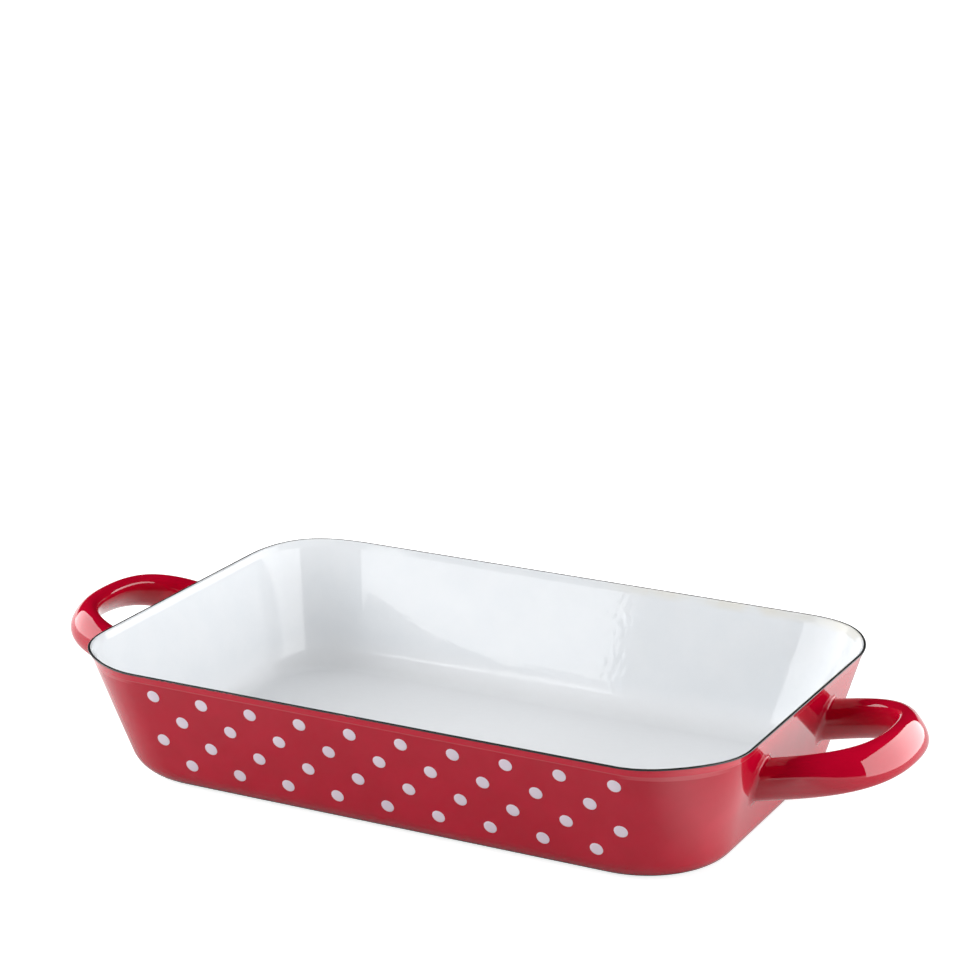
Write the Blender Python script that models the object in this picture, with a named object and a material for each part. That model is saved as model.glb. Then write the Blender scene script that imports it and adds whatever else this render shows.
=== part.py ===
"""Roasting dish of enamelled steel: a drawn pan with a flared rim and a tubular handle at each end.

The pan is one sheet of steel with a white coat inside, a red coat on its walls, a dark ground
coat under its base and a dark coat over its cut edge. Each handle is a bent steel tube, pressed
oval at the grip, whose open ends are cut to the slope of the end wall and welded to it.

The origin is on the table under the middle of the dish. +X runs to the right handle, +Z is up,
and the long front wall faces -Y. Lengths are in metres.
"""
import math

import bmesh
import bpy
from mathutils import Vector

MM = 0.001

# Outer outline of the pan, over the enamel
RIM_LENGTH = 337.5 * MM
RIM_WIDTH = 226 * MM
RIM_CORNER = 46 * MM
PAN_HEIGHT = 62.5 * MM
BASE_LENGTH = 305 * MM
BASE_WIDTH = 185 * MM
BASE_CORNER = 42.5 * MM
BOTTOM_RADIUS = 14 * MM
LIP_HEIGHT = 6 * MM
LIP_FLARE = 0.8 * MM
CORNER_RISE = 1.1 * MM

# Layers of the wall, and the clearance that keeps neighbouring pieces apart
STEEL = 0.8 * MM
ENAMEL = 0.3 * MM
FIT_GAP = 0.25 * MM
RIM_BAND = 1.3 * MM
RIM_ROUNDING = 0.55 * MM
SEAM_ANGLE = 38.0

# Handles: the steel tube's route and section
HANDLE_HEIGHT = 38.1 * MM
HANDLE_SPREAD = 82.5 * MM
HANDLE_REACH = 46 * MM
HANDLE_RISE = 13.0
ARM_SPLAY = 2.0
ARM_RUN = 44 * MM
GRIP_RUN = 25 * MM
TUBE_HALF_HEIGHT = 9.2 * MM
ARM_HALF_THICKNESS = 7.6 * MM
GRIP_HALF_THICKNESS = 5 * MM
GRIP_LEAN = 39.0
TUBE_WALL = 1.2 * MM
WELD_LEG = 2.8 * MM

# Fineness of the curved faces
CORNER_STEPS = 8
BOTTOM_STEPS = 4
LIP_STEPS = 3
TUBE_SIDES = 16
TUBE_STEPS = 18
WELD_STEPS = 3
ROUTE_STEPS = 200

# Depth of each layer's two faces below the outer face of the dish
STEEL_OUTER = ENAMEL + FIT_GAP
STEEL_INNER = STEEL_OUTER + STEEL
WHITE_OUTER = STEEL_INNER + FIT_GAP
WHITE_INNER = WHITE_OUTER + ENAMEL

# Slope of the walls, and the height where they start to flare into the lip
WALL_TOP = PAN_HEIGHT - LIP_HEIGHT
END_SLOPE = ((RIM_LENGTH - BASE_LENGTH) / 2 - LIP_FLARE) / PAN_HEIGHT
SIDE_SLOPE = ((RIM_WIDTH - BASE_WIDTH) / 2 - LIP_FLARE) / PAN_HEIGHT
CORNER_SLOPE = (RIM_CORNER - BASE_CORNER - LIP_FLARE) / PAN_HEIGHT
MEAN_SLOPE = (END_SLOPE + SIDE_SLOPE) / 2
MEAN_LEAN = math.atan(MEAN_SLOPE)

# Colours, as red, green and blue in linear light
RED = (0.50, 0.004, 0.016)
WHITE = (0.80, 0.82, 0.84)
DARK = (0.022, 0.022, 0.024)
STEEL_GREY = (0.42, 0.42, 0.43)


def clear_scene():
    """Remove whatever the file holds."""
    for thing in list(bpy.data.objects):
        bpy.data.objects.remove(thing, do_unlink=True)


def make_material(name, colour, roughness, metallic=0.0):
    """A plain Principled material."""
    material = bpy.data.materials.new(name)
    material.use_nodes = True
    shader = material.node_tree.nodes["Principled BSDF"]
    shader.inputs["Base Color"].default_value = (*colour, 1.0)
    shader.inputs["Roughness"].default_value = roughness
    shader.inputs["Metallic"].default_value = metallic
    material.diffuse_color = (*colour, 1.0)
    return material


def outline(inset, height):
    """The pan's rounded outline at a height, moved sideways by inset: negative is towards the middle.

    Above the rounded bottom edge the drawn sheet stands a little higher in the corners.
    """
    half_length = BASE_LENGTH / 2 + END_SLOPE * height + inset
    half_width = BASE_WIDTH / 2 + SIDE_SLOPE * height + inset
    radius = BASE_CORNER + CORNER_SLOPE * height + inset
    rise = CORNER_RISE * (max(0.0, height - BOTTOM_RADIUS) / (PAN_HEIGHT - BOTTOM_RADIUS)) ** 2
    points = []
    for quarter, (sign_x, sign_y) in enumerate(((1, 1), (-1, 1), (-1, -1), (1, -1))):
        centre_x = sign_x * (half_length - radius)
        centre_y = sign_y * (half_width - radius)
        for step in range(CORNER_STEPS + 1):
            turn = math.radians(90) * step / CORNER_STEPS
            angle = math.radians(90) * quarter + turn
            x = centre_x + radius * math.cos(angle)
            y = centre_y + radius * math.sin(angle)
            points.append(Vector((x, y, height + rise * math.sin(2 * turn) ** 2)))
    return points


def bottom_row(depth, angle):
    """Inset and height on the rounded bottom edge, at an angle up from its lowest point."""
    across = (BOTTOM_RADIUS - depth) * math.sin(angle) - BOTTOM_RADIUS * math.tan((math.pi / 2 - MEAN_LEAN) / 2)
    height = BOTTOM_RADIUS - (BOTTOM_RADIUS - depth) * math.cos(angle)
    return across - MEAN_SLOPE * height, height


def wall_row(depth, height):
    """Inset and height on the wall or its flared lip, depth below the outer face."""
    up_lip = max(0.0, (height - WALL_TOP) / LIP_HEIGHT)
    slope = MEAN_SLOPE + 2 * LIP_FLARE * up_lip / LIP_HEIGHT
    return LIP_FLARE * up_lip**2 - depth * math.hypot(1, slope), height


def bottom_rows(depth, start, end):
    """Rows round the bottom edge, between two angles."""
    steps = max(1, round(BOTTOM_STEPS * (end - start) / (math.pi / 2 - MEAN_LEAN)))
    return [bottom_row(depth, start + (end - start) * step / steps) for step in range(steps + 1)]


def lip_rows(depth, top):
    """Rows up the lip to a height."""
    return [wall_row(depth, WALL_TOP + (top - WALL_TOP) * step / LIP_STEPS) for step in range(LIP_STEPS + 1)]


def face_rows(depth, top, start=0.0):
    """Rows from the bottom edge up to a height, on the face at a depth."""
    return bottom_rows(depth, start, math.pi / 2 - MEAN_LEAN) + lip_rows(depth, top)


def join_rings(mesh, lower, upper):
    """A band of faces between two rings of as many corners, corner to corner."""
    for i in range(len(lower)):
        mesh.faces.new((lower[i - 1], lower[i], upper[i], upper[i - 1]))


def add_object(name, mesh, material):
    """Turn a closed bmesh into a named object."""
    bmesh.ops.recalc_face_normals(mesh, faces=mesh.faces)
    data = bpy.data.meshes.new(name)
    mesh.to_mesh(data)
    mesh.free()
    data.shade_smooth()
    data.set_sharp_from_angle(angle=math.radians(35))
    data.materials.append(material)
    thing = bpy.data.objects.new(name, data)
    bpy.context.scene.collection.objects.link(thing)
    return thing


def skin_rings(rings, closed):
    """Skin a row of rings: closed joins the last to the first, and otherwise both ends get a face."""
    mesh = bmesh.new()
    made = [[mesh.verts.new(point) for point in points] for points in rings]
    for lower, upper in zip(made, made[1:]):
        join_rings(mesh, lower, upper)
    if closed:
        join_rings(mesh, made[-1], made[0])
    else:
        mesh.faces.new(made[0])
        mesh.faces.new(made[-1])
    return mesh


def pan_piece(name, rows, closed, material):
    """A piece of the pan, made by carrying rows of its section round the outline."""
    return add_object(name, skin_rings([outline(*row) for row in rows], closed), material)


def build_pan(steel, red, white, dark):
    """The drawn sheet and its four coats."""
    steel_top = PAN_HEIGHT - ENAMEL - FIT_GAP
    coat_top = PAN_HEIGHT - RIM_BAND - FIT_GAP
    seam = math.radians(SEAM_ANGLE)
    seam_gap = FIT_GAP / BOTTOM_RADIUS

    rows = face_rows(STEEL_OUTER, steel_top) + face_rows(STEEL_INNER, steel_top)[::-1]
    pan_piece("steel_pan", rows, False, steel)

    rows = face_rows(WHITE_OUTER, coat_top) + face_rows(WHITE_INNER, coat_top)[::-1]
    pan_piece("inner_enamel", rows, False, white)

    rows = face_rows(0.0, coat_top, seam) + face_rows(ENAMEL, coat_top, seam)[::-1]
    red_coat = pan_piece("outer_enamel", rows, True, red)

    rows = bottom_rows(0.0, 0.0, seam - seam_gap) + bottom_rows(ENAMEL, 0.0, seam - seam_gap)[::-1]
    pan_piece("base_enamel", rows, False, dark)

    pan_piece("rim_enamel", rim_rows(), True, dark)
    return red_coat


def rim_rows():
    """The dark coat's section: an upturned channel over the steel's cut edge, rounded on top."""
    band_foot = PAN_HEIGHT - RIM_BAND
    shoulder = PAN_HEIGHT - RIM_ROUNDING
    eased = PAN_HEIGHT - RIM_ROUNDING * (1 - math.sqrt(0.5))
    eased_in = RIM_ROUNDING * (1 - math.sqrt(0.5))
    web = PAN_HEIGHT - ENAMEL
    return [
        wall_row(0.0, band_foot),
        wall_row(0.0, shoulder),
        wall_row(eased_in, eased),
        wall_row(RIM_ROUNDING, PAN_HEIGHT),
        wall_row(WHITE_INNER - RIM_ROUNDING, PAN_HEIGHT),
        wall_row(WHITE_INNER - eased_in, eased),
        wall_row(WHITE_INNER, shoulder),
        wall_row(WHITE_INNER, band_foot),
        wall_row(WHITE_OUTER, band_foot),
        wall_row(WHITE_OUTER, web),
        wall_row(ENAMEL, web),
        wall_row(ENAMEL, band_foot),
    ]


class HandleRoute:
    """The middle line of one handle, from its front end on the wall to its back end.

    side is 1 for the right handle and -1 for the left one.
    """

    def __init__(self, side):
        self.side = side
        self.wall_x = BASE_LENGTH / 2 + END_SLOPE * HANDLE_HEIGHT
        lean = math.atan(END_SLOPE)
        self.wall_normal = Vector((side * math.cos(lean), 0, -math.sin(lean)))
        self.wall_point = Vector((side * self.wall_x, 0, HANDLE_HEIGHT)) - STEEL_OUTER * self.wall_normal
        self.points = self.trace()
        self.lengths = [0.0]
        for before, after in zip(self.points, self.points[1:]):
            self.lengths.append(self.lengths[-1] + (after - before).length)

    def trace(self):
        """Points along the route: a cubic curve for the front half, mirrored for the back half."""
        outermost = RIM_LENGTH / 2 + HANDLE_REACH
        splay = math.radians(ARM_SPLAY)
        start = Vector((self.wall_x, HANDLE_SPREAD / 2))
        leaving = start + ARM_RUN * Vector((math.cos(splay), math.sin(splay)))
        arriving = Vector((outermost, GRIP_RUN))
        middle = Vector((outermost, 0))
        half = []
        for step in range(ROUTE_STEPS + 1):
            done = step / ROUTE_STEPS
            left = 1 - done
            near_start = left**3 * start + 3 * left**2 * done * leaving
            half.append(near_start + 3 * left * done**2 * arriving + done**3 * middle)
        plan = [Vector((p.x, -p.y)) for p in half] + half[-2::-1]
        rise = math.tan(math.radians(HANDLE_RISE))
        return [Vector((self.side * p.x, p.y, HANDLE_HEIGHT + rise * (p.x - self.wall_x))) for p in plan]

    def frame(self, along):
        """Place, direction, thin axis, tall axis and half thickness of the tube, at a length along it."""
        index = next((i for i, length in enumerate(self.lengths) if length > along), len(self.lengths) - 1)
        before, after = self.points[index - 1], self.points[index]
        part = (along - self.lengths[index - 1]) / (self.lengths[index] - self.lengths[index - 1])
        place = before.lerp(after, part)
        direction = (after - before).normalized()
        outward = Vector((direction.y, -direction.x, 0)).normalized() * self.side
        upward = direction.cross(outward)
        upward = upward if upward.z > 0 else -upward
        run_out = RIM_LENGTH / 2 + HANDLE_REACH - self.wall_x
        grip_share = (abs(place.x) - self.wall_x) / run_out
        lean = math.radians(GRIP_LEAN) * grip_share**2
        thin = math.cos(lean) * outward + math.sin(lean) * upward
        tall = math.cos(lean) * upward - math.sin(lean) * outward
        half_thickness = ARM_HALF_THICKNESS + (GRIP_HALF_THICKNESS - ARM_HALF_THICKNESS) * grip_share
        return place, direction, thin, tall, half_thickness

    def ring(self, along, growth):
        """An oval ring square to the route, grown sideways from the tube's outer face."""
        place, _, thin, tall, half_thickness = self.frame(along)
        points = []
        for side in range(TUBE_SIDES):
            angle = 2 * math.pi * side / TUBE_SIDES
            across = (half_thickness + growth) * math.cos(angle) * thin
            points.append(place + across + (TUBE_HALF_HEIGHT + growth) * math.sin(angle) * tall)
        return points

    def foot_ring(self, back, growth, lift):
        """A ring at one end, slid along the tube to lie parallel to the end wall, lift off its steel."""
        along = self.lengths[-1] if back else 0.0
        direction = self.frame(along)[1]
        slide = direction.dot(self.wall_normal)
        points = []
        for point in self.ring(along, growth):
            short = lift - (point - self.wall_point).dot(self.wall_normal)
            points.append(point + direction * short / slide)
        return points

    def first_square_ring(self, growth):
        """How far along the tube a square ring clears the feet that follow the wall."""
        direction = self.frame(0.0)[1]
        slide = direction.dot(self.wall_normal)
        reach = WELD_LEG + 4 * FIT_GAP + ENAMEL + (TUBE_HALF_HEIGHT + growth) * math.sqrt(1 - slide**2)
        return reach / slide

    def square_rings(self, growth):
        """Rings along the tube between its two feet."""
        start = self.first_square_ring(growth)
        run = self.lengths[-1] - 2 * start
        return [self.ring(start + run * step / TUBE_STEPS, growth) for step in range(TUBE_STEPS + 1)]


def weld_curve(radius):
    """Growth and lift along the hollow of the weld, from its foot on the wall to its top on the tube.

    The hollow's middle is a leg away from both, and a larger radius is nearer to the corner.
    """
    middle_growth = FIT_GAP + WELD_LEG
    middle_lift = FIT_GAP + WELD_LEG
    rows = []
    for step in range(WELD_STEPS + 1):
        angle = math.radians(90) * step / WELD_STEPS
        rows.append((middle_growth - radius * math.sin(angle), middle_lift - radius * math.cos(angle)))
    return rows


def build_tube(side_name, route, steel):
    """The handle's steel tube, open at both ends."""
    outer = [route.foot_ring(False, 0.0, FIT_GAP), *route.square_rings(0.0), route.foot_ring(True, 0.0, FIT_GAP)]
    inner = [
        route.foot_ring(False, -TUBE_WALL, FIT_GAP),
        *route.square_rings(-TUBE_WALL),
        route.foot_ring(True, -TUBE_WALL, FIT_GAP),
    ]
    add_object(f"handle_{side_name}", skin_rings(outer + inner[::-1], True), steel)


def build_handle_coat(side_name, route, red):
    """The red coat of a handle, which spreads over the welds at its ends."""
    rings = []
    for radius, growth in ((WELD_LEG - FIT_GAP - ENAMEL, FIT_GAP + ENAMEL), (WELD_LEG - FIT_GAP, FIT_GAP)):
        spread = weld_curve(radius)
        face = [route.foot_ring(False, *row) for row in spread]
        face += route.square_rings(growth)
        face += [route.foot_ring(True, *row) for row in reversed(spread)]
        rings += face if not rings else face[::-1]
    add_object(f"handle_{side_name}_enamel", skin_rings(rings, True), red)


def build_weld(side_name, end_name, route, back, steel):
    """The bead that joins one end of a tube to the wall."""
    rows = [(FIT_GAP, FIT_GAP), *weld_curve(WELD_LEG)]
    rings = [route.foot_ring(back, *row) for row in rows]
    add_object(f"weld_{side_name}_{end_name}", skin_rings(rings, True), steel)


def add_coat_cutter(red_coat, routes):
    """Open the wall's red coat round each welded foot."""
    mesh = bmesh.new()
    growth = WELD_LEG + 2 * FIT_GAP
    for route in routes:
        for back in (False, True):
            low = [mesh.verts.new(point) for point in route.foot_ring(back, growth, -STEEL)]
            high = [mesh.verts.new(point) for point in route.foot_ring(back, growth, WELD_LEG)]
            join_rings(mesh, low, high)
            mesh.faces.new(low)
            mesh.faces.new(high)
    cutter = add_object("coat_cutter", mesh, red_coat.data.materials[0])
    cutter.hide_render = True
    cutter.display_type = "WIRE"
    cut = red_coat.modifiers.new("weld_openings", "BOOLEAN")
    cut.operation = "DIFFERENCE"
    cut.solver = "EXACT"
    cut.object = cutter


def main():
    clear_scene()
    steel = make_material("drawn_steel", STEEL_GREY, 0.4, 1.0)
    red = make_material("red_enamel", RED, 0.08)
    white = make_material("white_enamel", WHITE, 0.12)
    dark = make_material("dark_enamel", DARK, 0.2)
    red_coat = build_pan(steel, red, white, dark)
    routes = {"left": HandleRoute(-1), "right": HandleRoute(1)}
    for side_name, route in routes.items():
        build_tube(side_name, route, steel)
        build_handle_coat(side_name, route, red)
        build_weld(side_name, "front", route, False, steel)
        build_weld(side_name, "back", route, True, steel)
    add_coat_cutter(red_coat, routes.values())


main()
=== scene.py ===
"""Finish, lights and camera for the enamelled steel roasting dish.

The solids hold the drawn pan, its handles and their welds. The enamel coats that show are made here
as fine meshes on the same lines, each riding where its solid is, and every surface gets a procedural
finish. Lengths are in metres and angles in degrees. +X runs to the right handle, and the front wall
faces -Y.
"""
import math

import bmesh
import bpy
from mathutils import Matrix, Vector


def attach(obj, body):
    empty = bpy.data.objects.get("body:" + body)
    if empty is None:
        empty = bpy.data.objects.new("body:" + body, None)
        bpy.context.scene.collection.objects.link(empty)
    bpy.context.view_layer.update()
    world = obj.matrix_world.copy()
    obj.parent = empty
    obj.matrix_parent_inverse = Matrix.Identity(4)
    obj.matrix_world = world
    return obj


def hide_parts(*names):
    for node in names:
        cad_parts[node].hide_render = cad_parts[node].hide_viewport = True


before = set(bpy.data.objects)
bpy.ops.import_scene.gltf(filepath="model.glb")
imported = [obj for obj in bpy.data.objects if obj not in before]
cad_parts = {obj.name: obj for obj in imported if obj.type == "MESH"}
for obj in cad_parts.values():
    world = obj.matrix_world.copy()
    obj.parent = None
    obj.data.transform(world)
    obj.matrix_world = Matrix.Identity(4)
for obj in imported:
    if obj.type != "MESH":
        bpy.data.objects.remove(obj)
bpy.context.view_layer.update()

MM = 0.001

# Outer outline of the pan, over the enamel
RIM_LENGTH = 337.5 * MM
RIM_WIDTH = 226 * MM
RIM_CORNER = 46 * MM
PAN_HEIGHT = 62.5 * MM
BASE_LENGTH = 305 * MM
BASE_WIDTH = 185 * MM
BASE_CORNER = 42.5 * MM
BOTTOM_RADIUS = 14 * MM
CORNER_RISE = 1.1 * MM

# Lip: its height, its flare over the straight wall, and the bend where its own slope starts
LIP_HEIGHT = 6 * MM
LIP_FLARE = 0.8 * MM
LIP_BEND = 2.2 * MM
LIP_BEND_HALF = 0.7 * MM
LIP_SLOPE = 0.184

# Depth of each coat's faces below the outer face of the dish
ENAMEL = 0.3 * MM
WHITE_OUTER = 1.6 * MM
WHITE_INNER = 1.9 * MM

# Dark line on the rim: how far it reaches down the outside and inwards over the top
RIM_ROUNDING = 0.5 * MM
RIM_SIDE = 0.62 * MM
RIM_INK = 1.3 * MM

# Seam between the red and the dark coat on the rounded bottom edge, and the flat inside that edge
SEAM_ANGLE = 38.0
SEAM_STEP = 0.4
FLAT_MARGIN = BOTTOM_RADIUS / 8

# Handles: route and section of the tube, and the fillet over its weld
HANDLE_HEIGHT = 38.1 * MM
HANDLE_SPREAD = 82.5 * MM
HANDLE_REACH = 45.7 * MM
HANDLE_RISE = 13.0
ARM_SPLAY = 2.0
ARM_RUN = 44 * MM
GRIP_RUN = 25 * MM
TUBE_HALF_HEIGHT = 9.2 * MM
ARM_HALF_THICKNESS = 7.6 * MM
GRIP_HALF_THICKNESS = 5 * MM
GRIP_LEAN = 39.0
GRIP_FLATNESS = 2.3
COAT_UNDERSIDE = 0.25 * MM
COAT_FACE = 0.42 * MM
FOOT_FILLET = 2.5 * MM
FOOT_SINK = 0.15 * MM

# Dots on the long walls. The profile gives each ring's share of the radius and of the thickness.
DOT_RADIUS = 3.2 * MM
DOT_PITCH = 26.1 * MM
DOT_ROW_GAP = 12.67 * MM
DOT_FIRST_ROW = 11.0 * MM
DOT_SHIFT = 4.1 * MM
DOT_THICKNESS = 0.05 * MM
DOT_PROFILE = ((0.55, -1), (1.0, -1), (1.0, 0.5), (0.985, 1), (0.6, 1), (0.2, 1))
DOTS_IN_ROWS = (10, 9, 10, 9)

# Fineness of the curved faces
CORNER_STEPS = 28
WALL_STEPS = 18
BOTTOM_STEPS = 14
WALL_ROWS = 20
LIP_ROWS = 22
ROUNDING_STEPS = 5
TUBE_SIDES = 56
TUBE_STEPS = 110
FILLET_STEPS = 8
DOT_SIDES = 32
ROUTE_STEPS = 600
MERGE_GAP = 0.001 * MM
CREASE_ANGLE = 40.0

# Slopes of the walls
WALL_TOP = PAN_HEIGHT - LIP_HEIGHT
END_SLOPE = ((RIM_LENGTH - BASE_LENGTH) / 2 - LIP_FLARE) / PAN_HEIGHT
SIDE_SLOPE = ((RIM_WIDTH - BASE_WIDTH) / 2 - LIP_FLARE) / PAN_HEIGHT
CORNER_SLOPE = (RIM_CORNER - BASE_CORNER - LIP_FLARE) / PAN_HEIGHT
MEAN_SLOPE = (END_SLOPE + SIDE_SLOPE) / 2
MEAN_LEAN = math.atan(MEAN_SLOPE)
WALL_START = math.pi / 2 - MEAN_LEAN

# Fired glaze: each noise by its scale per metre, detail and roughness
LONG_WAVES = (22.0, 1.0, 0.5)
SHORT_WAVES = (75.0, 2.0, 0.45)
ORANGE_PEEL = (340.0, 0.0, 0.5)
HANDLING_FILM = (38.0, 4.0, 0.6)
COLOUR_DRIFT = (55.0, 3.0, 0.55)
LONG_WAVE_SHARE = 2.6
FILM_SPAN = (0.42, 0.72)
FILM_DULLING = 0.6
PLAIN_GLOSS = 0.05

# Glaze of each enamel: depth of its waves, depth of its peel, roughness and index of refraction
RED_GLAZE = (0.010 * MM, 0.0006 * MM, 0.03, 1.55)
WHITE_GLAZE = (0.030 * MM, 0.026 * MM, 0.008, 1.37)
DOT_GLAZE = (0.010 * MM, 0.0006 * MM, 0.04, 1.6)
RIM_GLAZE = (0.006 * MM, 0.002 * MM, 0.16, 1.55)
BASE_GLAZE = (0.02 * MM, 0.003 * MM, 0.14, 1.55)

# Red enamel. A face's downward lean tells the lip, and the bend below it, from the straight wall. The lip
# is lighter partly for its thinner enamel and partly as painted light bounced up from the floor; the bend
# carries a painted highlight line.
RED_POOLED = (0.46, 0.0013, 0.020, 1.0)
RED_WALL = (0.50, 0.0017, 0.023, 1.0)
# Lighter red on the lip: partly thinner enamel, partly painted light bounced up from the floor
RED_LIP_THIN_AND_LIT = (0.61, 0.006, 0.032, 1.0)
# Painted highlight: a pale line along the lip's bend, standing in for the light that the bend mirrors
RED_BEND_HIGHLIGHT = (0.60, 0.09, 0.11, 1.0)
RED_DRIFT = (0.35, 0.7)
LIP_BLEND = 0.3 * MM
THIN_LIT_LIP_LEAN = (0.33, 0.42)
HIGHLIGHT_START_LEAN = (0.30, 0.34)
HIGHLIGHT_END_LEAN = (0.40, 0.35)
HIGHLIGHT_SHARE = 0.6

# White enamel, whitest on the dish's floor as painted light falling in from above, and warm in patches
# under the rim of the right half
WHITE_POOLED = (0.765, 0.79, 0.815, 1.0)
WHITE_WALL = (0.785, 0.805, 0.827, 1.0)
WHITE_FLOOR_LIT = (0.82, 0.835, 0.855, 1.0)
WHITE_THIN = (0.76, 0.75, 0.71, 1.0)
WHITE_DRIFT = (0.3, 0.7)
LIT_FLOOR_BLEND = (20 * MM, 6 * MM)
THIN_BLEND = (PAN_HEIGHT - 5 * MM, PAN_HEIGHT - 1 * MM)
THIN_SIDE = (0.0, 60 * MM)
THIN_PATCHES = (40.0, 2.0, 0.5)
THIN_PATCH_SPAN = (0.35, 0.6)

# Enamel of the dots
DOT_TINTED = (0.76, 0.68, 0.78, 1.0)
DOT_WHITE = (0.80, 0.73, 0.82, 1.0)

# Dark enamel of the rim, with flecks of red on its outer side
RIM_DARK = (0.012, 0.012, 0.013, 1.0)
RIM_GREY = (0.035, 0.036, 0.038, 1.0)
RIM_FLECK = (0.46, 0.05, 0.08, 1.0)
RIM_TONES = (240.0, 2.0, 0.5)
FLECK_BLEND = (PAN_HEIGHT - 0.15 * MM, PAN_HEIGHT - 0.4 * MM)
FLECKS = (520.0, 3.0, 0.6)
FLECK_SPAN = (0.52, 0.6)
FLECK_STRETCHES = (30.0, 1.0, 0.5)
FLECK_STRETCH_SPAN = (0.45, 0.6)

# Dark enamel under the dish, speckled and scuffed
BASE_DARK = (0.016, 0.016, 0.018, 1.0)
BASE_SPECK = (0.10, 0.10, 0.11, 1.0)
BASE_SCUFF = (0.04, 0.04, 0.042, 1.0)
SPECKS = (900.0, 2.0, 0.7)
SPECK_SPAN = (0.63, 0.72)
SCUFFS = (60.0, 6.0, 0.7)
SCUFF_SPAN = (0.55, 0.75, 0.0, 0.5)

# Drawn steel under the enamel
STEEL_DARK = (0.34, 0.34, 0.35, 1.0)
STEEL_LIGHT = (0.50, 0.50, 0.51, 1.0)
LINE_STRETCH = (1.0, 1.0, 14.0)
DRAWING_LINES = (160.0, 4.0, 0.65)
LINE_ROUGHNESS = (0.2, 0.8, 0.28, 0.5)
LINE_STRENGTH = 0.3
LINE_DEPTH = 0.02 * MM

# White floor, and the distances over which its glow rises into the white background
PURE_WHITE = (1.0, 1.0, 1.0, 1.0)
PURE_BLACK = (0.0, 0.0, 0.0, 1.0)
FLOOR_WHITE = (0.6, 0.6, 0.6, 1.0)
FLOOR_SIZE = 12.0
FLOOR_GLOW = 0.8
GLOW_NEAR = 0.45
GLOW_FAR = 1.3

# Pools of light on the floor at the dish's sides, which only the glaze mirrors
LEFT_POOL_GLOW = 0.6
LEFT_POOL_NEAR = 0.13
LEFT_POOL_FAR = 0.26
RIGHT_POOL_GLOW = 0.72
RIGHT_POOL_NEAR = 0.138
RIGHT_POOL_FAR = 0.182
RIGHT_POOL_END = 0.225
RIGHT_POOL_REST = 0.45

# Room round the table
WORLD_FILL = 0.1
DARK_ROOM_RADIUS = 4.0
DARK_ROOM_SIDES = 48
DARK_ROOM_FOOT = 3.0
DARK_ROOM_GREY = 0.006

# Softboxes: middle, azimuth, width, height, radiance, and width of the edge over which they fade.
# Light that has met a matt face doesn't see them any more.
SOFTBOXES = {
    "left_softbox": ((-0.75, -0.75, 0.385), -90, 1.9, 0.73, 4.2, 0.005),
    "right_softbox": ((0.475, 0.27, 0.22), 106.6, 1.085, 0.42, 4.8, 0.006),
}
FIRST_MATT_BOUNCE = 0.5

# Fill lamps: azimuth, elevation and power
FILLS = {
    "right_fill": (95, 12, 27),
    "left_fill": (-115, 12, 26),
    "front_fill": (-45, 30, 24),
    "back_fill": (130, 50, 10),
}
FILL_DISTANCE = 1.6
FILL_WIDTH = 2.0
FILL_HEIGHT = 1.0

# Camera
CAMERA_TARGET = Vector((0.0, 0.0, 28.9 * MM))
CAMERA_DISTANCE = 1428.02 * MM
CAMERA_AZIMUTH = 27.1513
CAMERA_ELEVATION = 21.0102
CAMERA_YAW = -0.2255
CAMERA_PITCH = 4.2248
CAMERA_ROLL = 0.1047
CAMERA_LENS = 108.83
SENSOR = 36.0


def outline_corners(inset, height):
    """Middle, radius and start angle of each corner of the pan's outline, the front right one last."""
    half_length = BASE_LENGTH / 2 + END_SLOPE * height + inset
    half_width = BASE_WIDTH / 2 + SIDE_SLOPE * height + inset
    radius = BASE_CORNER + CORNER_SLOPE * height + inset
    for quarter, (sign_x, sign_y) in enumerate(((1, 1), (-1, 1), (-1, -1), (1, -1))):
        middle = Vector((sign_x * (half_length - radius), sign_y * (half_width - radius), height))
        yield middle, radius, math.pi / 2 * quarter


def outline(inset, height):
    """The pan's rounded outline at a height, moved sideways by inset: negative is towards the middle.

    Above the rounded bottom edge the drawn sheet stands a little higher in the corners.
    """
    rise = CORNER_RISE * (max(0.0, height - BOTTOM_RADIUS) / (PAN_HEIGHT - BOTTOM_RADIUS)) ** 2
    arcs = []
    for middle, radius, start in outline_corners(inset, height):
        arc = []
        for step in range(CORNER_STEPS + 1):
            turn = math.pi / 2 * step / CORNER_STEPS
            across = radius * Vector((math.cos(start + turn), math.sin(start + turn), 0))
            arc.append(middle + across + Vector((0, 0, rise * math.sin(2 * turn) ** 2)))
        arcs.append(arc)
    points = []
    for arc, following in zip(arcs, arcs[1:] + arcs[:1]):
        points += arc
        points += [arc[-1].lerp(following[0], step / WALL_STEPS) for step in range(1, WALL_STEPS)]
    return points


def bottom_row(depth, angle):
    """Inset and height on the rounded bottom edge, at an angle up from its lowest point."""
    across = (BOTTOM_RADIUS - depth) * math.sin(angle) - BOTTOM_RADIUS * math.tan(WALL_START / 2)
    height = BOTTOM_RADIUS - (BOTTOM_RADIUS - depth) * math.cos(angle)
    return across - MEAN_SLOPE * height, height


def lip(height):
    """How far the lip stands out from the wall's line at a height, and its slope there.

    It bends out once, and runs straight above the bend.
    """
    past = height - WALL_TOP - LIP_BEND
    if past >= LIP_BEND_HALF:
        return LIP_SLOPE * past, LIP_SLOPE
    into_bend = max(0.0, past + LIP_BEND_HALF)
    return LIP_SLOPE * into_bend**2 / (4 * LIP_BEND_HALF), LIP_SLOPE * into_bend / (2 * LIP_BEND_HALF)


def wall_row(depth, height):
    """Inset and height on the wall or its flared lip, depth below the outer face."""
    flare, slope = lip(height)
    return flare - depth * math.hypot(1, MEAN_SLOPE + slope), height


def bottom_rows(depth, start, end):
    """Rows round the bottom edge, between two angles."""
    steps = max(2, round(BOTTOM_STEPS * (end - start) / WALL_START))
    return [bottom_row(depth, start + (end - start) * step / steps) for step in range(steps + 1)]


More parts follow.
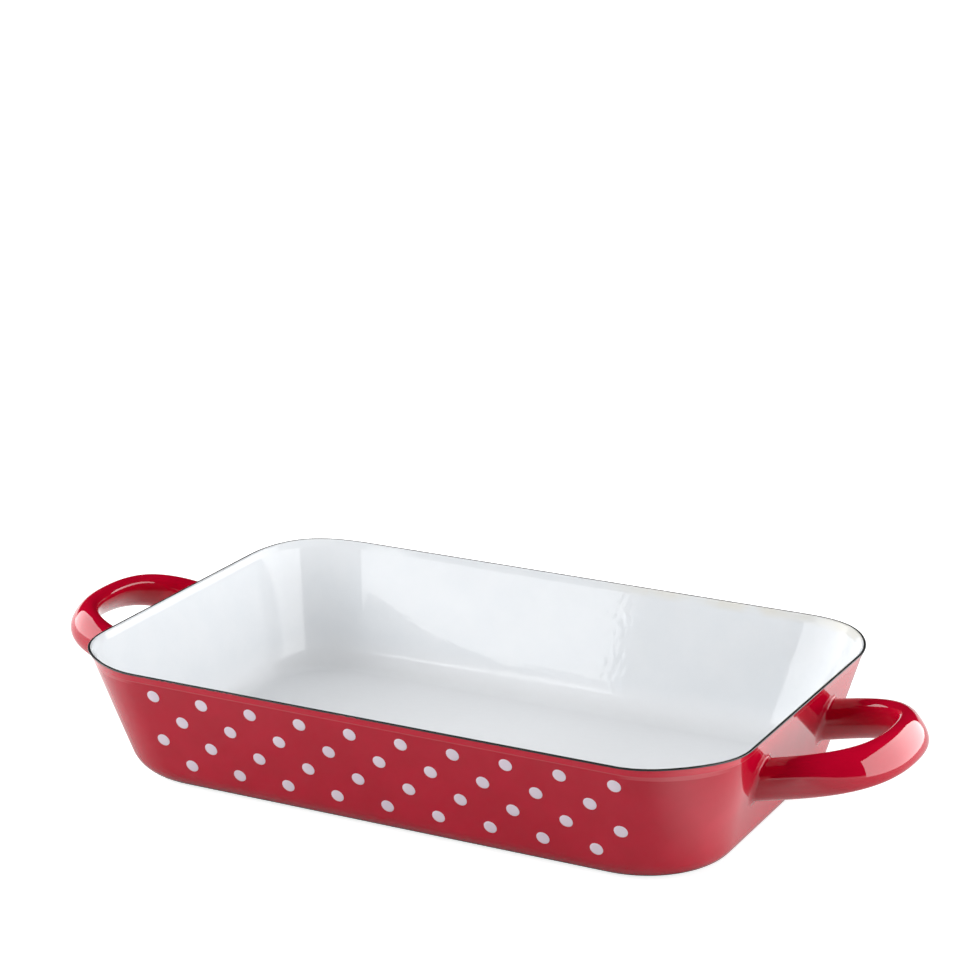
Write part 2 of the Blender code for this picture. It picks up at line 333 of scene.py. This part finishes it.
def wall_rows(depth, top):
    """Rows up the wall and its lip to a height."""
    foot = bottom_row(depth, WALL_START)[1]
    heights = [foot + (WALL_TOP - foot) * step / WALL_ROWS for step in range(1, WALL_ROWS)]
    heights += [WALL_TOP + (top - WALL_TOP) * step / LIP_ROWS for step in range(LIP_ROWS + 1)]
    return [wall_row(depth, height) for height in heights]


def rounded_edge(depth, top, radius, inwards):
    """Rows over a rounded top edge. It starts on a face at a depth and turns towards the other side."""
    rows = []
    for step in range(ROUNDING_STEPS + 1):
        angle = math.pi / 2 * step / ROUNDING_STEPS
        across = depth + inwards * radius * (1 - math.cos(angle))
        rows.append(wall_row(across, top - radius * (1 - math.sin(angle))))
    return rows


def ink_rows():
    """Rows down the joint where the white coat meets the dark line on top of the rim."""
    return [wall_row(RIM_INK, PAN_HEIGHT), wall_row(RIM_INK, PAN_HEIGHT - ENAMEL)]


def flat_margin(rows):
    """A row on the flat, just inside the rounded edge that the rows start with."""
    inset, height = rows[0]
    return inset - FLAT_MARGIN, height


def sweep(mesh, rings, looped=False):
    """Extrude a ring of edges through rings of as many points. Looped joins the last to the first."""
    place = mesh.verts.layers.int.get("place") or mesh.verts.layers.int.new("place")
    verts = bmesh.ops.create_circle(mesh, segments=len(rings[0]), radius=1.0)["verts"]
    for number, vert in enumerate(verts):
        vert[place] = number
        vert.co = rings[0][number]
    edges = list({edge for vert in verts for edge in vert.link_edges})
    first = verts
    if not looped:
        bmesh.ops.edgeloop_fill(mesh, edges=edges)
    closing = rings[:1] if looped else []
    for ring in rings[1:] + closing:
        made = bmesh.ops.extrude_edge_only(mesh, edges=edges)["geom"]
        verts = [part for part in made if isinstance(part, bmesh.types.BMVert)]
        fresh = set(verts)
        made_edges = [part for part in made if isinstance(part, bmesh.types.BMEdge)]
        edges = [edge for edge in made_edges if fresh.issuperset(edge.verts)]
        for vert in verts:
            vert.co = ring[vert[place]]
    if looped:
        bmesh.ops.remove_doubles(mesh, verts=first + verts, dist=MERGE_GAP)
    else:
        bmesh.ops.edgeloop_fill(mesh, edges=edges)


def add_piece(name, mesh, material, stands_for=None):
    """Turn a closed bmesh into a piece that rides on the dish, and may stand for one of its solids."""
    bmesh.ops.recalc_face_normals(mesh, faces=mesh.faces)
    data = bpy.data.meshes.new(name)
    mesh.to_mesh(data)
    mesh.free()
    data.shade_smooth()
    data.set_sharp_from_angle(angle=math.radians(CREASE_ANGLE))
    data.materials.append(material)
    piece = bpy.data.objects.new(name, data)
    bpy.context.scene.collection.objects.link(piece)
    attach(piece, "root")
    if stands_for:
        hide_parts(stands_for)


def pan_coat(name, rows, looped, material, stands_for):
    """A coat of the pan: rows of its section, carried round the outline."""
    mesh = bmesh.new()
    sweep(mesh, [outline(*row) for row in rows], looped)
    add_piece(name, mesh, material, stands_for)


def build_red_coat(material):
    """The red coat on the outside of the walls, up to the dark edge."""
    seam = math.radians(SEAM_ANGLE)
    top = PAN_HEIGHT - RIM_SIDE
    outer = bottom_rows(0.0, seam, WALL_START) + wall_rows(0.0, top)
    inner = bottom_rows(ENAMEL, seam, WALL_START) + wall_rows(ENAMEL, top)
    pan_coat("red_coat", outer + inner[::-1], True, material, "outer_enamel")


def build_white_coat(material):
    """The white coat inside, which turns over the rim as far as the dark line."""
    shoulder = PAN_HEIGHT - RIM_ROUNDING
    inner = bottom_rows(WHITE_INNER, 0.0, WALL_START) + wall_rows(WHITE_INNER, shoulder)
    over = rounded_edge(WHITE_INNER, PAN_HEIGHT, RIM_ROUNDING, -1)[1:]
    tuck = ink_rows() + [wall_row(WHITE_OUTER, shoulder)]
    outer = bottom_rows(WHITE_OUTER, 0.0, WALL_START) + wall_rows(WHITE_OUTER, shoulder - ENAMEL)
    rows = [flat_margin(inner)] + inner + over + tuck + outer[::-1]
    pan_coat("white_coat", rows, False, material, "inner_enamel")


def build_rim_line(material):
    """The dark ground coat left bare over the steel's cut edge."""
    over = rounded_edge(0.0, PAN_HEIGHT, RIM_ROUNDING, 1)
    rows = [wall_row(0.0, PAN_HEIGHT - RIM_SIDE)] + over + ink_rows()
    rows += [wall_row(ENAMEL, PAN_HEIGHT - ENAMEL), wall_row(ENAMEL, PAN_HEIGHT - RIM_SIDE)]
    pan_coat("rim_line", rows, True, material, "rim_enamel")


def build_base_coat(material):
    """The dark ground coat under the dish, up to the seam with the red one."""
    seam = math.radians(SEAM_ANGLE - SEAM_STEP)
    outer = bottom_rows(0.0, 0.0, seam)
    inner = bottom_rows(ENAMEL, 0.0, seam)
    rows = [flat_margin(outer)] + outer + inner[::-1]
    pan_coat("base_coat", rows, False, material, "base_enamel")


class HandleRoute:
    """The middle line of one handle. side is 1 for the right handle and -1 for the left one.

    Each half is one smooth curve from the wall to the middle of the grip. It is pulled straight out
    along the arm at its start, and along the grip at its end.
    """

    def __init__(self, side):
        self.side = side
        self.wall_x = BASE_LENGTH / 2 + END_SLOPE * HANDLE_HEIGHT
        lean = math.atan(END_SLOPE)
        self.wall_normal = Vector((side * math.cos(lean), 0, -math.sin(lean)))
        self.wall_point = Vector((side * self.wall_x, 0, HANDLE_HEIGHT))
        outermost = RIM_LENGTH / 2 + HANDLE_REACH
        splay = math.radians(ARM_SPLAY)
        start = Vector((self.wall_x, HANDLE_SPREAD / 2))
        leaving = start + ARM_RUN * Vector((math.cos(splay), math.sin(splay)))
        self.pulls = (start, leaving, Vector((outermost, GRIP_RUN)), Vector((outermost, 0)))
        places = [self.place_and_heading(2 * step / ROUTE_STEPS)[0] for step in range(ROUTE_STEPS + 1)]
        self.lengths = [0.0]
        for before, after in zip(places, places[1:]):
            self.lengths.append(self.lengths[-1] + (after - before).length)

    def place_and_heading(self, turn):
        """Place and direction, turn running from 0 at the front end to 2 at the back end."""
        mirrored = turn > 1
        share = 2 - turn if mirrored else turn
        rest = 1 - share
        start, leaving, arriving, middle = self.pulls
        spot = (
            rest**3 * start
            + 3 * rest**2 * share * leaving
            + 3 * rest * share**2 * arriving
            + share**3 * middle
        )
        pace = (
            rest**2 * (leaving - start)
            + 2 * rest * share * (arriving - leaving)
            + share**2 * (middle - arriving)
        )
        rise = math.tan(math.radians(HANDLE_RISE))
        front = 1 if mirrored else -1
        out = -1 if mirrored else 1
        place = Vector((self.side * spot.x, front * spot.y, HANDLE_HEIGHT + rise * (spot.x - self.wall_x)))
        heading = Vector((self.side * out * pace.x, -pace.y, out * rise * pace.x)).normalized()
        return place, heading

    def turn_at(self, along):
        """The turn that lies a length along the route."""
        low = 0
        high = ROUTE_STEPS
        while high - low > 1:
            middle = (low + high) // 2
            if self.lengths[middle] <= along:
                low = middle
            else:
                high = middle
        share = (along - self.lengths[low]) / (self.lengths[high] - self.lengths[low])
        return 2 * (low + share) / ROUTE_STEPS

    def ring(self, along, growth):
        """A rounded ring square to the route, grown sideways from the tube's outer face.

        It is an oval at the feet. Towards the grip it gets thinner, flatter at the sides and leans over.
        """
        place, heading = self.place_and_heading(self.turn_at(along))
        outward = Vector((heading.y, -heading.x, 0)).normalized() * self.side
        upward = heading.cross(outward)
        upward = upward if upward.z > 0 else -upward
        grip_share = (abs(place.x) - self.wall_x) / (RIM_LENGTH / 2 + HANDLE_REACH - self.wall_x)
        lean = math.radians(GRIP_LEAN) * grip_share**2
        thin = math.cos(lean) * outward + math.sin(lean) * upward
        tall = math.cos(lean) * upward - math.sin(lean) * outward
        half_thickness = ARM_HALF_THICKNESS + (GRIP_HALF_THICKNESS - ARM_HALF_THICKNESS) * grip_share
        power = 2 / (2 + (GRIP_FLATNESS - 2) * grip_share)
        points = []
        for number in range(TUBE_SIDES):
            angle = 2 * math.pi * number / TUBE_SIDES
            across = math.copysign(abs(math.cos(angle)) ** power, math.cos(angle))
            upright = math.copysign(abs(math.sin(angle)) ** power, math.sin(angle))
            side_step = (half_thickness + growth) * across * thin
            points.append(place + side_step + (TUBE_HALF_HEIGHT + growth) * upright * tall)
        return points

    def foot_ring(self, back, growth, lift):
        """A ring at one end, slid along the tube to lie parallel to the end wall, lift off its face."""
        along = self.lengths[-1] if back else 0.0
        heading = self.place_and_heading(self.turn_at(along))[1]
        slide = heading.dot(self.wall_normal)
        points = []
        for point in self.ring(along, growth):
            short = lift - (point - self.wall_point).dot(self.wall_normal)
            points.append(point + heading * short / slide)
        return points

    def square_rings(self, growth):
        """Rings along the tube between its two feet, clear of the fillets round them."""
        heading = self.place_and_heading(0.0)[1]
        slide = heading.dot(self.wall_normal)
        start = (2 * FOOT_FILLET + (TUBE_HALF_HEIGHT + growth) * math.sqrt(1 - slide**2)) / slide
        run = self.lengths[-1] - 2 * start
        return [self.ring(start + run * step / TUBE_STEPS, growth) for step in range(TUBE_STEPS + 1)]


def foot_fillet():
    """Growth and lift round the hollow where the coat runs from the wall out on to the tube."""
    rows = [(COAT_FACE + FOOT_FILLET, -FOOT_SINK)]
    for step in range(FILLET_STEPS + 1):
        angle = math.pi / 2 * step / FILLET_STEPS
        growth = COAT_FACE + FOOT_FILLET * (1 - math.sin(angle))
        rows.append((growth, FOOT_FILLET * (1 - math.cos(angle))))
    return rows


def build_handle_coat(side_name, side, material):
    """The red coat of a handle, which runs out on to the end wall round each foot."""
    route = HandleRoute(side)
    fillet = foot_fillet()
    face = [route.foot_ring(False, *row) for row in fillet]
    face += route.square_rings(COAT_FACE)
    face += [route.foot_ring(True, *row) for row in reversed(fillet)]
    under = [route.foot_ring(False, COAT_UNDERSIDE, -FOOT_SINK)]
    under += route.square_rings(COAT_UNDERSIDE)
    under += [route.foot_ring(True, COAT_UNDERSIDE, -FOOT_SINK)]
    mesh = bmesh.new()
    sweep(mesh, face + under[::-1], looped=True)
    add_piece(f"handle_{side_name}_coat", mesh, material, f"handle_{side_name}_enamel")


def front_wall_point(along, down, proud):
    """A point on the front wall: along it from its middle, and down its slope from the rim's height."""
    height = PAN_HEIGHT - down / math.hypot(1, SIDE_SLOPE)
    middle, radius, _ = list(outline_corners(0.0, height))[-1]
    beyond = abs(along) - middle.x
    if beyond <= 0:
        point = Vector((along, middle.y - radius, height))
        outward = Vector((0, -1, -SIDE_SLOPE))
    else:
        turn = beyond / radius
        outward = Vector((math.copysign(math.sin(turn), along), -math.cos(turn), -MEAN_SLOPE))
        reach = Vector((outward.x, outward.y, 0)) * radius
        point = Vector((math.copysign(middle.x, along), middle.y, height)) + reach
    return point + proud * outward.normalized()


def dot_ring(along, down, share, proud):
    """A ring of a dot on the front wall, at a share of its radius and a distance off the wall."""
    points = []
    for side in range(DOT_SIDES):
        angle = 2 * math.pi * side / DOT_SIDES
        across = DOT_RADIUS * share * math.cos(angle)
        lower = DOT_RADIUS * share * math.sin(angle)
        points.append(front_wall_point(along + across, down + lower, proud))
    return points


def build_dots(name, back, material):
    """One long wall's dots, each a thin closed disc that follows the wall."""
    mesh = bmesh.new()
    for row, count in enumerate(DOTS_IN_ROWS):
        down = DOT_FIRST_ROW + DOT_ROW_GAP * row
        for number in range(count):
            along = DOT_SHIFT + DOT_PITCH * (number - (count - 1) / 2)
            rings = [dot_ring(along, down, share, proud * DOT_THICKNESS) for share, proud in DOT_PROFILE]
            sweep(mesh, rings)
    if back:
        half_turn = Matrix.Rotation(math.pi, 3, "Z")
        bmesh.ops.rotate(mesh, verts=mesh.verts, cent=(0, 0, 0), matrix=half_turn)
    add_piece(name, mesh, material)


class Nodes:
    """Short ways to add and link the nodes of one material or group."""

    def __init__(self, tree):
        self.tree = tree

    def add(self, kind, values=None, **settings):
        """A new node with its settings, and values or links for its inputs."""
        node = self.tree.nodes.new(kind)
        for key, value in settings.items():
            setattr(node, key, value)
        for key, value in (values or {}).items():
            self.feed(node.inputs[key], value)
        return node

    def feed(self, socket, value):
        """Link a socket to another one, or set it to a number or colour."""
        if isinstance(value, bpy.types.NodeSocket):
            self.tree.links.new(value, socket)
        else:
            socket.default_value = value

    def math(self, operation, *values, clamp=False):
        """The result of a sum on numbers or sockets."""
        node = self.add("ShaderNodeMath", operation=operation, use_clamp=clamp)
        for socket, value in zip(node.inputs, values):
            self.feed(socket, value)
        return node.outputs[0]

    def ramp(self, value, low, high, start=0.0, end=1.0):
        """Value from low to high, spread over start to end and held past them, with eased ends."""
        span = {"Value": value, "From Min": low, "From Max": high, "To Min": start, "To Max": end}
        return self.add("ShaderNodeMapRange", span, interpolation_type="SMOOTHSTEP").outputs["Result"]

    def mix(self, share, first, second):
        """A colour between two colours."""
        colours = {"Factor": share, "A": first, "B": second}
        return self.add("ShaderNodeMix", colours, data_type="RGBA").outputs["Result"]

    def noise(self, vector, scale, detail, roughness):
        """Soft noise from 0 to 1."""
        values = {"Vector": vector, "Scale": scale, "Detail": detail, "Roughness": roughness}
        return self.add("ShaderNodeTexNoise", values).outputs["Fac"]

    def split(self, vector):
        """The X, Y and Z of a vector."""
        return self.add("ShaderNodeSeparateXYZ", {"Vector": vector}).outputs


def new_group(name, inputs, outputs):
    """An empty shader node group. inputs gives each input's name and value, None for a vector."""
    tree = bpy.data.node_groups.new(name, "ShaderNodeTree")
    for socket_name, value in inputs.items():
        kind = "NodeSocketVector" if value is None else "NodeSocketFloat"
        socket = tree.interface.new_socket(socket_name, in_out="INPUT", socket_type=kind)
        if value is not None:
            socket.default_value = value
    for socket_name in outputs:
        tree.interface.new_socket(socket_name, in_out="OUTPUT", socket_type="NodeSocketFloat")
    nodes = Nodes(tree)
    return nodes, nodes.add("NodeGroupInput").outputs, nodes.add("NodeGroupOutput").inputs


def make_glaze_group():
    """Fired enamel's surface: waves from the firing, fine orange peel, and a faint film of handling."""
    nodes, given, result = new_group(
        "fired_glaze",
        {"Position": None, "Wave depth": 1.0, "Peel depth": 1.0, "Gloss": PLAIN_GLOSS},
        ("Height", "Roughness", "Mottle"),
    )
    long_waves = nodes.noise(given["Position"], *LONG_WAVES)
    short_waves = nodes.noise(given["Position"], *SHORT_WAVES)
    waves = nodes.math("MULTIPLY_ADD", long_waves, LONG_WAVE_SHARE, short_waves)
    waves = nodes.math("MULTIPLY", waves, given["Wave depth"])
    peel = nodes.math("MULTIPLY", nodes.noise(given["Position"], *ORANGE_PEEL), given["Peel depth"])
    nodes.feed(result["Height"], nodes.math("ADD", waves, peel))
    film = nodes.ramp(nodes.noise(given["Position"], *HANDLING_FILM), *FILM_SPAN)
    dulling = nodes.math("MULTIPLY", given["Gloss"], FILM_DULLING)
    nodes.feed(result["Roughness"], nodes.math("MULTIPLY_ADD", film, dulling, given["Gloss"]))
    nodes.feed(result["Mottle"], nodes.noise(given["Position"], *COLOUR_DRIFT))
    return nodes.tree


def start_material(name):
    """A material with its nodes, Principled shader and Object coordinates."""
    material = bpy.data.materials.new(name)
    material.use_nodes = True
    nodes = Nodes(material.node_tree)
    shader = material.node_tree.nodes["Principled BSDF"]
    position = nodes.add("ShaderNodeTexCoord").outputs["Object"]
    return material, nodes, shader, position


def glazed(nodes, shader, position, group, wave_depth, peel_depth, gloss, ior):
    """Give a shader the glaze's waves, peel and roughness, and return the drift of its colour.

    Depths are in metres for a full swing.
    """
    depths = {"Wave depth": wave_depth / MM, "Peel depth": peel_depth / MM}
    values = {"Position": position, "Gloss": gloss, **depths}
    glaze = nodes.add("ShaderNodeGroup", values, node_tree=group)
    bump = nodes.add("ShaderNodeBump", {"Distance": MM, "Height": glaze.outputs["Height"]})
    nodes.feed(shader.inputs["Normal"], bump.outputs["Normal"])
    nodes.feed(shader.inputs["Roughness"], glaze.outputs["Roughness"])
    shader.inputs["IOR"].default_value = ior
    return glaze.outputs["Mottle"]


def make_red_enamel(glaze):
    """Glossy red enamel, a touch deeper where it pooled, lighter on the lip for thinner enamel and painted
    light from the floor, with a painted highlight along its bend.
    """
    material, nodes, shader, position = start_material("red_enamel")
    drift = glazed(nodes, shader, position, glaze, *RED_GLAZE)
    wall = nodes.mix(nodes.ramp(drift, *RED_DRIFT), RED_POOLED, RED_WALL)
    near_rim = nodes.ramp(nodes.split(position)["Z"], WALL_TOP, WALL_TOP + LIP_BLEND)
    facing = nodes.add("ShaderNodeTexCoord").outputs["Normal"]
    lean = nodes.math("MULTIPLY", nodes.split(facing)["Z"], -1.0)
    # The lip's lighter red, on faces that lean down: thinner enamel and painted light from the floor
    lip_thin_and_lit = nodes.math("MULTIPLY", near_rim, nodes.ramp(lean, *THIN_LIT_LIP_LEAN))
    coat = nodes.mix(lip_thin_and_lit, wall, RED_LIP_THIN_AND_LIT)
    # Painted highlight: a pale line along the lip's bend
    bend_highlight = nodes.math("MULTIPLY", nodes.ramp(lean, *HIGHLIGHT_START_LEAN), nodes.ramp(lean, *HIGHLIGHT_END_LEAN))
    bend_highlight = nodes.math("MULTIPLY", near_rim, nodes.math("MULTIPLY", bend_highlight, HIGHLIGHT_SHARE))
    nodes.feed(shader.inputs["Base Color"], nodes.mix(bend_highlight, coat, RED_BEND_HIGHLIGHT))
    return material


def make_white_enamel(glaze):
    """Glossy white enamel with the waves of its firing, faintly warm where it thins at the rim, and whiter
    on the dish's floor as painted light.
    """
    material, nodes, shader, position = start_material("white_enamel")
    drift = glazed(nodes, shader, position, glaze, *WHITE_GLAZE)
    place = nodes.split(position)
    wall = nodes.mix(nodes.ramp(drift, *WHITE_DRIFT), WHITE_POOLED, WHITE_WALL)
    # Painted light: whiter towards the dish's floor, which faces the light from above
    coat = nodes.mix(nodes.ramp(place["Z"], *LIT_FLOOR_BLEND), wall, WHITE_FLOOR_LIT)
    patch = nodes.ramp(nodes.noise(position, *THIN_PATCHES), *THIN_PATCH_SPAN)
    patch = nodes.math("MULTIPLY", patch, nodes.ramp(place["X"], *THIN_SIDE))
    thin = nodes.math("MULTIPLY", nodes.ramp(place["Z"], *THIN_BLEND), patch)
    nodes.feed(shader.inputs["Base Color"], nodes.mix(thin, coat, WHITE_THIN))
    return material


def make_dot_enamel(glaze):
    """White printed enamel, thin enough to take a little of the red below."""
    material, nodes, shader, position = start_material("dot_enamel")
    drift = glazed(nodes, shader, position, glaze, *DOT_GLAZE)
    tone = nodes.mix(nodes.ramp(drift, *WHITE_DRIFT), DOT_TINTED, DOT_WHITE)
    nodes.feed(shader.inputs["Base Color"], tone)
    return material


def make_rim_enamel(glaze):
    """Dark ground coat along the rim, with red flecks on its side where the red coat overlaps it."""
    material, nodes, shader, position = start_material("rim_enamel")
    glazed(nodes, shader, position, glaze, *RIM_GLAZE)
    side = nodes.ramp(nodes.split(position)["Z"], *FLECK_BLEND)
    fleck = nodes.ramp(nodes.noise(position, *FLECKS), *FLECK_SPAN)
    stretch = nodes.ramp(nodes.noise(position, *FLECK_STRETCHES), *FLECK_STRETCH_SPAN)
    cover = nodes.math("MULTIPLY", nodes.math("MULTIPLY", side, fleck), stretch)
    tone = nodes.mix(nodes.noise(position, *RIM_TONES), RIM_DARK, RIM_GREY)
    nodes.feed(shader.inputs["Base Color"], nodes.mix(cover, tone, RIM_FLECK))
    return material


def make_base_enamel(glaze):
    """Dark ground coat under the dish, finely speckled, scuffed where it rests."""
    material, nodes, shader, position = start_material("base_enamel")
    glazed(nodes, shader, position, glaze, *BASE_GLAZE)
    speck = nodes.ramp(nodes.noise(position, *SPECKS), *SPECK_SPAN)
    scuff = nodes.ramp(nodes.noise(position, *SCUFFS), *SCUFF_SPAN)
    body = nodes.mix(speck, BASE_DARK, BASE_SPECK)
    nodes.feed(shader.inputs["Base Color"], nodes.mix(scuff, body, BASE_SCUFF))
    return material


def make_bare_steel():
    """Drawn steel under the enamel: grey metal with fine drawing lines."""
    material, nodes, shader, position = start_material("drawn_steel")
    shader.inputs["Metallic"].default_value = 1.0
    mapping = nodes.add("ShaderNodeMapping", {"Vector": position, "Scale": LINE_STRETCH})
    lines = nodes.noise(mapping.outputs["Vector"], *DRAWING_LINES)
    nodes.feed(shader.inputs["Base Color"], nodes.mix(lines, STEEL_DARK, STEEL_LIGHT))
    nodes.feed(shader.inputs["Roughness"], nodes.ramp(lines, *LINE_ROUGHNESS))
    groove = {"Strength": LINE_STRENGTH, "Distance": LINE_DEPTH, "Height": lines}
    bump = nodes.add("ShaderNodeBump", groove)
    nodes.feed(shader.inputs["Normal"], bump.outputs["Normal"])
    return material


def start_glow(name, colour):
    """A matt material that can glow white, without gloss."""
    material, nodes, shader, position = start_material(name)
    shader.inputs["Base Color"].default_value = colour
    shader.inputs["Roughness"].default_value = 1.0
    shader.inputs["Specular IOR Level"].default_value = 0.0
    shader.inputs["Emission Color"].default_value = PURE_WHITE
    return material, nodes, shader, position


def add_to_set(name, mesh, material):
    """Turn a bmesh into a part of the set round the dish."""
    data = bpy.data.meshes.new(name)
    mesh.to_mesh(data)
    mesh.free()
    data.materials.append(material)
    item = bpy.data.objects.new(name, data)
    bpy.context.scene.collection.objects.link(item)
    return item


def show_in_gloss_only(item):
    """Leave a part of the set to be seen in the glaze, and nowhere else."""
    item.visible_camera = False
    item.visible_diffuse = False
    item.visible_shadow = False
    item.visible_transmission = False


def seen_directly(nodes, by_camera, by_glaze):
    """One value for rays from the camera, another for rays off gloss or through glass, else 0."""
    path = nodes.add("ShaderNodeLightPath").outputs
    bounced = nodes.math("ADD", path["Is Glossy Ray"], path["Is Transmission Ray"], clamp=True)
    mirrored = nodes.math("MULTIPLY", bounced, by_glaze)
    return nodes.math("MULTIPLY_ADD", path["Is Camera Ray"], by_camera, mirrored)


def build_floor():
    """A plain white floor. Seen directly it glows a little, so that it runs into the white background.

    The glaze mirrors it brighter at both sides, where the softboxes throw their pools of light.
    """
    mesh = bmesh.new()
    bmesh.ops.create_grid(mesh, x_segments=1, y_segments=1, size=FLOOR_SIZE / 2)
    material, nodes, shader, position = start_glow("white_floor", FLOOR_WHITE)
    away = nodes.add("ShaderNodeVectorMath", {0: position}, operation="LENGTH").outputs["Value"]
    seen = nodes.ramp(away, GLOW_NEAR, GLOW_FAR, FLOOR_GLOW, 1.0)
    aside = nodes.split(position)["X"]
    left_pool = nodes.ramp(aside, -LEFT_POOL_NEAR, -LEFT_POOL_FAR, 0.0, LEFT_POOL_GLOW)
    right_pool = nodes.ramp(aside, RIGHT_POOL_NEAR, RIGHT_POOL_FAR, 0.0, RIGHT_POOL_GLOW)
    fading = nodes.ramp(aside, RIGHT_POOL_FAR, RIGHT_POOL_END, 1.0, RIGHT_POOL_REST)
    right_pool = nodes.math("MULTIPLY", right_pool, fading)
    pools = nodes.math("MAXIMUM", left_pool, right_pool)
    mirrored = nodes.math("MAXIMUM", pools, nodes.ramp(away, GLOW_NEAR, GLOW_FAR, 0.0, 1.0))
    nodes.feed(shader.inputs["Emission Strength"], seen_directly(nodes, seen, mirrored))
    add_to_set("floor", mesh, material)


def build_world():
    """A white background, and a dim even fill on everything else."""
    world = bpy.data.worlds.new("studio")
    bpy.context.scene.world = world
    world.use_nodes = True
    nodes = Nodes(world.node_tree)
    background = world.node_tree.nodes["Background"]
    background.inputs["Color"].default_value = PURE_WHITE
    background_share = 1.0 - WORLD_FILL
    direct = seen_directly(nodes, background_share, background_share)
    nodes.feed(background.inputs["Strength"], nodes.math("ADD", direct, WORLD_FILL))


def build_dark_room():
    """The dim room round the white table, a dome that starts a little above the horizon."""
    mesh = bmesh.new()
    sides = DARK_ROOM_SIDES
    bmesh.ops.create_uvsphere(mesh, u_segments=sides, v_segments=sides // 2, radius=DARK_ROOM_RADIUS)
    foot = Vector((0, 0, DARK_ROOM_RADIUS * math.sin(math.radians(DARK_ROOM_FOOT))))
    whole = mesh.verts[:] + mesh.edges[:] + mesh.faces[:]
    bmesh.ops.bisect_plane(mesh, geom=whole, plane_co=foot, plane_no=(0, 0, 1), clear_inner=True)
    material, _, shader, _ = start_glow("dark_room", PURE_BLACK)
    shader.inputs["Emission Strength"].default_value = DARK_ROOM_GREY
    show_in_gloss_only(add_to_set("dark_room", mesh, material))


def direction(azimuth, elevation):
    """A direction from the dish: azimuth 0 is towards -Y and 90 towards +X."""
    turn = math.radians(azimuth)
    lift = math.radians(elevation)
    return Vector((math.sin(turn) * math.cos(lift), -math.cos(turn) * math.cos(lift), math.sin(lift)))


def add_softbox(name, middle, azimuth, width, height, radiance, edge):
    """An upright softbox that only the glaze mirrors. The fill lamps give the light that it throws.

    Its face is radiance bright, 1 being white, and fades at the edge.
    """
    mesh = bmesh.new()
    shape = Matrix.Diagonal((width, height, 1, 1))
    bmesh.ops.create_grid(mesh, x_segments=1, y_segments=1, size=0.5, matrix=shape)
    material, nodes, shader, position = start_glow(name, PURE_BLACK)
    place = nodes.split(position)
    bounces = nodes.add("ShaderNodeLightPath").outputs["Diffuse Depth"]
    strength = nodes.math("MULTIPLY", nodes.math("LESS_THAN", bounces, FIRST_MATT_BOUNCE), radiance)
    for axis, half in (("X", width / 2), ("Y", height / 2)):
        away = nodes.math("ABSOLUTE", place[axis])
        strength = nodes.math("MULTIPLY", strength, nodes.ramp(away, half, half - edge))
    nodes.feed(shader.inputs["Emission Strength"], strength)
    panel = add_to_set(name, mesh, material)
    panel.location = middle
    panel.rotation_euler = direction(azimuth, 0).to_track_quat("Z", "Y").to_euler()
    show_in_gloss_only(panel)


def add_fill(name, azimuth, elevation, power):
    """An oval lamp that only lights the dish and the floor. The glaze mirrors the softboxes instead."""
    light = bpy.data.lights.new(name, "AREA")
    light.shape = "ELLIPSE"
    light.size = FILL_WIDTH
    light.size_y = FILL_HEIGHT
    light.energy = power
    lamp = bpy.data.objects.new(name, light)
    bpy.context.scene.collection.objects.link(lamp)
    away = direction(azimuth, elevation)
    lamp.location = FILL_DISTANCE * away
    lamp.rotation_euler = away.to_track_quat("Z", "Y").to_euler()
    lamp.visible_camera = False
    lamp.visible_glossy = False


def build_camera():
    """The viewpoint: out from the target, then turned a little so that the dish sits as framed."""
    back = direction(CAMERA_AZIMUTH, CAMERA_ELEVATION)
    eye = CAMERA_TARGET + CAMERA_DISTANCE * back
    azimuth = math.radians(CAMERA_AZIMUTH)
    right = Vector((math.cos(azimuth), math.sin(azimuth), 0))
    up = back.cross(right)
    yaw, pitch, roll = (math.radians(angle) for angle in (CAMERA_YAW, CAMERA_PITCH, CAMERA_ROLL))
    right, back = math.cos(yaw) * right - math.sin(yaw) * back, math.cos(yaw) * back + math.sin(yaw) * right
    up, back = math.cos(pitch) * up + math.sin(pitch) * back, math.cos(pitch) * back - math.sin(pitch) * up
    right, up = math.cos(roll) * right + math.sin(roll) * up, math.cos(roll) * up - math.sin(roll) * right
    camera = bpy.data.cameras.new("camera")
    camera.sensor_width = SENSOR
    camera.lens = CAMERA_LENS
    holder = bpy.data.objects.new("camera", camera)
    bpy.context.scene.collection.objects.link(holder)
    holder.matrix_world = Matrix.Translation(eye) @ Matrix((right, up, back)).transposed().to_4x4()
    bpy.context.scene.camera = holder


def finish_steel(material):
    """Give the bare steel pieces that still show as solids their finish."""
    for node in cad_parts.values():
        if not node.hide_render:
            node.data.materials.clear()
            node.data.materials.append(material)


def main():
    """Build the coats and dots, give the steel its finish, and set up the studio round the dish."""
    bpy.context.scene.view_settings.view_transform = "Standard"
    build_camera()
    glaze = make_glaze_group()
    red = make_red_enamel(glaze)
    white = make_white_enamel(glaze)
    dots = make_dot_enamel(glaze)
    build_red_coat(red)
    build_white_coat(white)
    build_rim_line(make_rim_enamel(glaze))
    build_base_coat(make_base_enamel(glaze))
    for side_name, side in (("left", -1), ("right", 1)):
        build_handle_coat(side_name, side, red)
    build_dots("front_dots", False, dots)
    build_dots("back_dots", True, dots)
    finish_steel(make_bare_steel())
    build_floor()
    build_world()
    build_dark_room()
    for name, softbox in SOFTBOXES.items():
        add_softbox(name, *softbox)
    for name, fill in FILLS.items():
        add_fill(name, *fill)


main()
